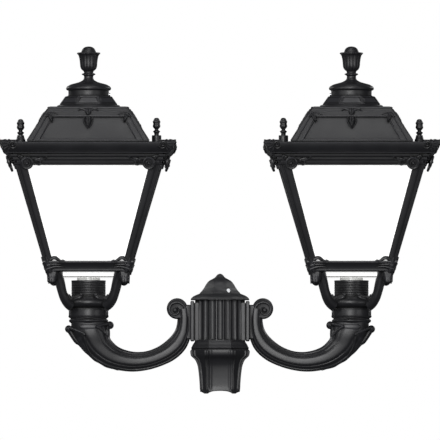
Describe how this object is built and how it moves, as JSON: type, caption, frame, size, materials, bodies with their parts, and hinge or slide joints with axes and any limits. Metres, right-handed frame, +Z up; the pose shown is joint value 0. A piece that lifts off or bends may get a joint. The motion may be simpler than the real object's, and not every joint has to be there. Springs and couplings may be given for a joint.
{
  "type": "street lamp post head",
  "caption": "Twin-lantern head for a street lamp post: square tapered lanterns with opal diffusers on scrolled arms from a fluted hub over a post socket.",
  "frame": {"origin": "centre of the post socket's mouth, at the lower edge of the capital", "axes": "+Z up along the post, +X towards the right-hand lantern, -Y to the front"},
  "size_m": [0.7656, 0.3056, 0.6075],
  "materials": {
    "black_resin": "satin",
    "black_cup": "satin",
    "black_rubber": "matte",
    "stainless_steel": "satin",
    "opal_diffuser": "satin",
    "lamp_glass": "gloss",
    "white_porcelain": "gloss"
  },
  "bodies": {
    "bracket": {"post_capital": "black_resin", "post_set_screws": "stainless_steel", "hub_drum": "black_resin", "hub_base_screws": "stainless_steel", "hub_cap": "black_resin", "cap_gasket": "black_rubber", "cap_bracket": "stainless_steel", "cap_screws": "stainless_steel", "terminal_tray": "stainless_steel", "terminal_block": "white_porcelain", "terminal_screws": "stainless_steel", "left_arm": "black_resin", "left_arm_gasket": "black_rubber", "left_arm_bolts": "stainless_steel", "left_supply_lead": "black_rubber", "right_arm": "black_resin", "right_arm_gasket": "black_rubber", "right_arm_bolts": "stainless_steel", "right_supply_lead": "black_rubber"},
    "left_lantern": {"left_cradle": "black_resin", "left_neck_screws": "stainless_steel", "left_lamp_cup": "black_cup", "left_lampholder": "white_porcelain", "left_lamp": "lamp_glass", "left_diffuser": "opal_diffuser", "left_cage": "black_resin", "left_cage_screws": "stainless_steel", "left_roof_gasket": "black_rubber"},
    "left_roof": {"left_roof_cover": "black_resin", "left_vent_ring": "black_resin", "left_chimney_cap": "black_resin", "left_chimney_screw": "stainless_steel", "left_finial": "black_resin", "left_finial_nut": "stainless_steel"},
    "left_inner_knob": {"left_inner_knob": "black_resin"},
    "left_outer_knob": {"left_outer_knob": "black_resin"},
    "right_lantern": {"right_cradle": "black_resin", "right_neck_screws": "stainless_steel", "right_lamp_cup": "black_cup", "right_lampholder": "white_porcelain", "right_lamp": "lamp_glass", "right_diffuser": "opal_diffuser", "right_cage": "black_resin", "right_cage_screws": "stainless_steel", "right_roof_gasket": "black_rubber"},
    "right_roof": {"right_roof_cover": "black_resin", "right_vent_ring": "black_resin", "right_chimney_cap": "black_resin", "right_chimney_screw": "stainless_steel", "right_finial": "black_resin", "right_finial_nut": "stainless_steel"},
    "right_inner_knob": {"right_inner_knob": "black_resin"},
    "right_outer_knob": {"right_outer_knob": "black_resin"}
  },
  "joints": [
    {"name": "left_lantern_swivel", "type": "hinge", "parent": "bracket", "child": "left_lantern", "pos_m": [-0.23, 0, 0.133], "axis": [0, 0, 1], "range_deg": [-90, 90]},
    {"name": "left_roof_lift", "type": "slide", "parent": "left_lantern", "child": "left_roof", "axis": [0, 0, 1], "range_m": [0, 0.16]},
    {"name": "left_inner_knob_turn", "type": "hinge", "parent": "left_roof", "child": "left_inner_knob", "pos_m": [-0.111, 0, 0.45], "axis": [0, 0, 1], "continuous": true},
    {"name": "left_outer_knob_turn", "type": "hinge", "parent": "left_roof", "child": "left_outer_knob", "pos_m": [-0.349, 0, 0.45], "axis": [0, 0, 1], "continuous": true},
    {"name": "right_lantern_swivel", "type": "hinge", "parent": "bracket", "child": "right_lantern", "pos_m": [0.23, 0, 0.133], "axis": [0, 0, 1], "range_deg": [-90, 90]},
    {"name": "right_roof_lift", "type": "slide", "parent": "right_lantern", "child": "right_roof", "axis": [0, 0, 1], "range_m": [0, 0.16]},
    {"name": "right_inner_knob_turn", "type": "hinge", "parent": "right_roof", "child": "right_inner_knob", "pos_m": [0.111, 0, 0.45], "axis": [0, 0, 1], "continuous": true},
    {"name": "right_outer_knob_turn", "type": "hinge", "parent": "right_roof", "child": "right_outer_knob", "pos_m": [0.349, 0, 0.45], "axis": [0, 0, 1], "continuous": true}
  ]
}
